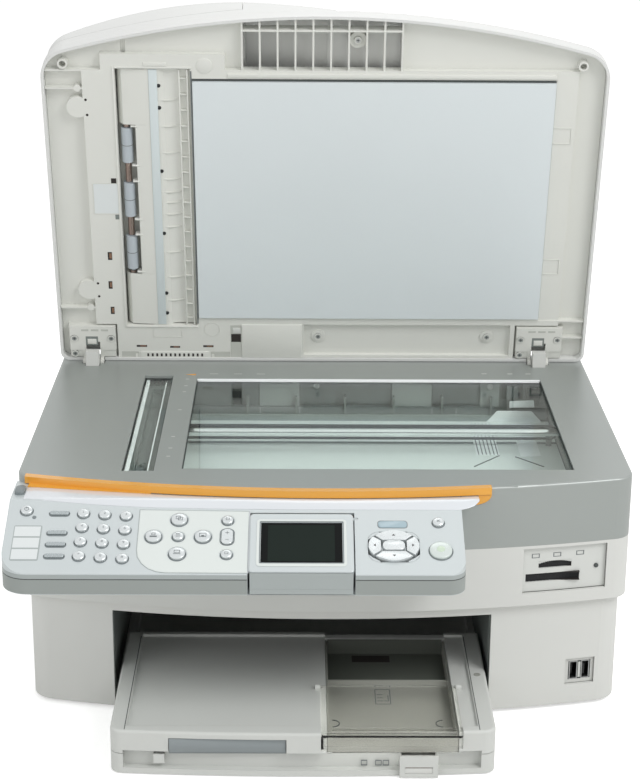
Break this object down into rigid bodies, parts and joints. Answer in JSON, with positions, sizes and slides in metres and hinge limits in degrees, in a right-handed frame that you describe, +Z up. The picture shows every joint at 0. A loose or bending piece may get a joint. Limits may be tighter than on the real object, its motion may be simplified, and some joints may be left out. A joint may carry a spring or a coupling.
{
  "type": "multifunction printer",
  "caption": "Flatbed multifunction printer with a hinged scanner lid and document feeder, tilting display panel, card slots and front paper trays.",
  "frame": {"origin": "middle of the machine's ground face, level with the bottoms of the feet", "axes": "+X to the right seen from the front, +Y to the back, +Z up"},
  "size_m": [0.464, 0.4406, 0.5093],
  "materials": {
    "foot_rubber": "soft moulded rubber",
    "white_plastic": "fine moulded texture",
    "silver_plastic": "silver-grey moulded plastic, satin",
    "panel_silver": "light silver plastic, satin",
    "orange_plastic": "glossy",
    "clear_glass": "polished",
    "dark_plastic": "moulded",
    "grey_plastic": "moulded",
    "bright_steel": "ground",
    "plated_steel": "zinc plated sheet",
    "belt_rubber": "toothed belt",
    "roller_rubber": "ground rubber tyre",
    "board_green": "solder-masked board",
    "display_window": "clear hard window over a dark display",
    "button_silver": "satin",
    "button_white": "satin",
    "button_blue": "pearl",
    "sheet_white": "smooth white sheet over foam",
    "smoked_plastic": "smoked, see-through"
  },
  "bodies": {
    "base": {"rubber_feet": "foot_rubber", "base_pan": "white_plastic", "lower_housing": "white_plastic", "upper_housing": "white_plastic", "scanner_deck": "silver_plastic", "front_trim": "orange_plastic", "platen_glass": "clear_glass", "document_strip_glass": "clear_glass", "scanner_pan": "dark_plastic", "scan_rod": "bright_steel", "scan_belt": "belt_rubber", "paper_guide_frame": "dark_plastic", "print_frame": "plated_steel", "carriage_rod": "bright_steel", "circuit_board": "board_green", "card_reader": "grey_plastic", "usb_ports": "dark_plastic", "panel_housing": "panel_silver"},
    "hinge_legs": {"hinge_legs": "white_plastic"},
    "lid": {"lid_shell": "white_plastic", "lid_frame": "white_plastic", "backing_sheet": "sheet_white", "feeder_guide": "grey_plastic", "hinge_brackets": "grey_plastic", "lid_screws": "plated_steel"},
    "feeder_cover": {"feeder_cover": "white_plastic"},
    "feeder_rollers": {"feeder_rollers": "roller_rubber"},
    "scan_carriage": {"scan_carriage": "dark_plastic"},
    "print_carriage": {"print_carriage": "dark_plastic"},
    "feed_roller": {"feed_roller": "roller_rubber"},
    "exit_roller": {"exit_roller": "roller_rubber"},
    "paper_tray": {"paper_tray": "white_plastic"},
    "output_tray": {"output_tray": "white_plastic"},
    "tray_extension": {"tray_extension": "silver_plastic"},
    "photo_tray": {"photo_tray": "grey_plastic"},
    "photo_cover": {"photo_cover": "smoked_plastic"},
    "length_guide": {"length_guide": "white_plastic"},
    "lcd": {"lcd_housing": "panel_silver", "lcd_window": "display_window"},
    "zoom_rocker": {"zoom_rocker": "button_silver"},
    "number_keys_left": {"number_keys_left": "button_white"},
    "number_keys_middle": {"number_keys_middle": "button_white"},
    "number_keys_right": {"number_keys_right": "button_white"},
    "redial_bar": {"redial_bar": "button_white"},
    "speed_dial_bars": {"speed_dial_bars": "button_white"},
    "power_button": {"power_button": "button_silver"},
    "mode_button_left": {"mode_button_left": "button_silver"},
    "mode_button_top": {"mode_button_top": "button_silver"},
    "mode_button_right": {"mode_button_right": "button_silver"},
    "mode_button_bottom": {"mode_button_bottom": "button_silver"},
    "menu_button": {"menu_button": "button_silver"},
    "side_button_top": {"side_button_top": "button_silver"},
    "side_button_bottom": {"side_button_bottom": "button_silver"},
    "cancel_button": {"cancel_button": "button_silver"},
    "start_button": {"start_button": "button_blue"},
    "arrow_button_up": {"arrow_button_up": "button_silver"},
    "arrow_button_down": {"arrow_button_down": "button_silver"},
    "arrow_button_left": {"arrow_button_left": "button_silver"},
    "arrow_button_right": {"arrow_button_right": "button_silver"},
    "enter_button": {"enter_button": "button_silver"}
  },
  "joints": [
    {"name": "leg_lift", "type": "slide", "parent": "base", "child": "hinge_legs", "axis": [0, 0, 1], "range_m": [0, 0.012]},
    {"name": "lid_hinge", "type": "hinge", "parent": "hinge_legs", "child": "lid", "pos_m": [0, 0.14113, 0.19], "axis": [1, 0, 0], "range_deg": [0, 76.8]},
    {"name": "feeder_cover_hinge", "type": "hinge", "parent": "lid", "child": "feeder_cover", "pos_m": [-0.2265, 0.13767, 0.33603], "axis": [0, -0.2272, 0.9739], "range_deg": [0, 65]},
    {"name": "feeder_roller_spin", "type": "hinge", "parent": "lid", "child": "feeder_rollers", "pos_m": [-0.1647, 0.11348, 0.34374], "axis": [0, -0.2272, 0.9739], "continuous": true},
    {"name": "scan_travel", "type": "slide", "parent": "base", "child": "scan_carriage", "axis": [1, 0, 0], "range_m": [0, 0.32]},
    {"name": "print_travel", "type": "slide", "parent": "base", "child": "print_carriage", "axis": [-1, 0, 0], "range_m": [0, 0.28]},
    {"name": "feed_roller_spin", "type": "hinge", "parent": "base", "child": "feed_roller", "pos_m": [0, 0.088, 0.054], "axis": [1, 0, 0], "continuous": true},
    {"name": "exit_roller_spin", "type": "hinge", "parent": "base", "child": "exit_roller", "pos_m": [0, -0.048, 0.056], "axis": [1, 0, 0], "continuous": true},
    {"name": "tray_pull", "type": "slide", "parent": "base", "child": "paper_tray", "axis": [0, -1, 0], "range_m": [0, 0.16]},
    {"name": "output_tray_lift", "type": "hinge", "parent": "paper_tray", "child": "output_tray", "pos_m": [0, -0.094, 0.024], "axis": [-1, 0, 0], "range_deg": [0, 15]},
    {"name": "extension_pull", "type": "slide", "parent": "output_tray", "child": "tray_extension", "axis": [0, -1, 0], "range_m": [0, 0.1]},
    {"name": "photo_tray_push", "type": "slide", "parent": "output_tray", "child": "photo_tray", "axis": [0, 1, 0], "range_m": [0, 0.045]},
    {"name": "photo_cover_lift", "type": "hinge", "parent": "output_tray", "child": "photo_cover", "pos_m": [0.0475, -0.1758, 0.0345], "axis": [-1, 0, 0], "range_deg": [0, 85]},
    {"name": "length_guide_pull", "type": "slide", "parent": "paper_tray", "child": "length_guide", "axis": [0, -1, 0], "range_m": [0, 0.038]},
    {"name": "lcd_tilt", "type": "hinge", "parent": "base", "child": "lcd", "pos_m": [-0.0183, -0.1872, 0.17565], "axis": [-1, 0, 0], "range_deg": [0, 35]},
    {"name": "zoom_rock", "type": "hinge", "parent": "base", "child": "zoom_rocker", "pos_m": [-0.0717, -0.20351, 0.1663], "axis": [1, 0, 0], "range_deg": [-3.5, 3.5], "stiffness_Nm_per_rad": 0.05},
    {"name": "number_keys_left_press", "type": "slide", "parent": "base", "child": "number_keys_left", "axis": [0, 0.4067, -0.9135], "range_m": [0, 0.001], "stiffness_N_per_m": 300},
    {"name": "number_keys_middle_press", "type": "slide", "parent": "base", "child": "number_keys_middle", "axis": [0, 0.4067, -0.9135], "range_m": [0, 0.001], "stiffness_N_per_m": 300},
    {"name": "number_keys_right_press", "type": "slide", "parent": "base", "child": "number_keys_right", "axis": [0, 0.4067, -0.9135], "range_m": [0, 0.001], "stiffness_N_per_m": 300},
    {"name": "redial_bar_press", "type": "slide", "parent": "base", "child": "redial_bar", "axis": [0, 0.4067, -0.9135], "range_m": [0, 0.001], "stiffness_N_per_m": 300},
    {"name": "speed_dial_bars_press", "type": "slide", "parent": "base", "child": "speed_dial_bars", "axis": [0, 0.4067, -0.9135], "range_m": [0, 0.001], "stiffness_N_per_m": 300},
    {"name": "power_button_press", "type": "slide", "parent": "base", "child": "power_button", "axis": [0, 0.4067, -0.9135], "range_m": [0, 0.001], "stiffness_N_per_m": 300},
    {"name": "mode_button_left_press", "type": "slide", "parent": "base", "child": "mode_button_left", "axis": [0, 0.4067, -0.9135], "range_m": [0, 0.001], "stiffness_N_per_m": 300},
    {"name": "mode_button_top_press", "type": "slide", "parent": "base", "child": "mode_button_top", "axis": [0, 0.4067, -0.9135], "range_m": [0, 0.001], "stiffness_N_per_m": 300},
    {"name": "mode_button_right_press", "type": "slide", "parent": "base", "child": "mode_button_right", "axis": [0, 0.4067, -0.9135], "range_m": [0, 0.001], "stiffness_N_per_m": 300},
    {"name": "mode_button_bottom_press", "type": "slide", "parent": "base", "child": "mode_button_bottom", "axis": [0, 0.4067, -0.9135], "range_m": [0, 0.001], "stiffness_N_per_m": 300},
    {"name": "menu_button_press", "type": "slide", "parent": "base", "child": "menu_button", "axis": [0, 0.4067, -0.9135], "range_m": [0, 0.001], "stiffness_N_per_m": 300},
    {"name": "side_button_top_press", "type": "slide", "parent": "base", "child": "side_button_top", "axis": [0, 0.4067, -0.9135], "range_m": [0, 0.001], "stiffness_N_per_m": 300},
    {"name": "side_button_bottom_press", "type": "slide", "parent": "base", "child": "side_button_bottom", "axis": [0, 0.4067, -0.9135], "range_m": [0, 0.001], "stiffness_N_per_m": 300},
    {"name": "cancel_button_press", "type": "slide", "parent": "base", "child": "cancel_button", "axis": [0, 0.4067, -0.9135], "range_m": [0, 0.001], "stiffness_N_per_m": 300},
    {"name": "start_button_press", "type": "slide", "parent": "base", "child": "start_button", "axis": [0, 0.4067, -0.9135], "range_m": [0, 0.001], "stiffness_N_per_m": 300},
    {"name": "arrow_button_up_press", "type": "slide", "parent": "base", "child": "arrow_button_up", "axis": [0, 0.4067, -0.9135], "range_m": [0, 0.001], "stiffness_N_per_m": 300},
    {"name": "arrow_button_down_press", "type": "slide", "parent": "base", "child": "arrow_button_down", "axis": [0, 0.4067, -0.9135], "range_m": [0, 0.001], "stiffness_N_per_m": 300},
    {"name": "arrow_button_left_press", "type": "slide", "parent": "base", "child": "arrow_button_left", "axis": [0, 0.4067, -0.9135], "range_m": [0, 0.001], "stiffness_N_per_m": 300},
    {"name": "arrow_button_right_press", "type": "slide", "parent": "base", "child": "arrow_button_right", "axis": [0, 0.4067, -0.9135], "range_m": [0, 0.001], "stiffness_N_per_m": 300},
    {"name": "enter_button_press", "type": "slide", "parent": "base", "child": "enter_button", "axis": [0, 0.4067, -0.9135], "range_m": [0, 0.001], "stiffness_N_per_m": 300}
  ],
  "couplings": [
    {"joint": "exit_roller_spin", "follows": "feed_roller_spin", "ratio": 1.3333}
  ]
}
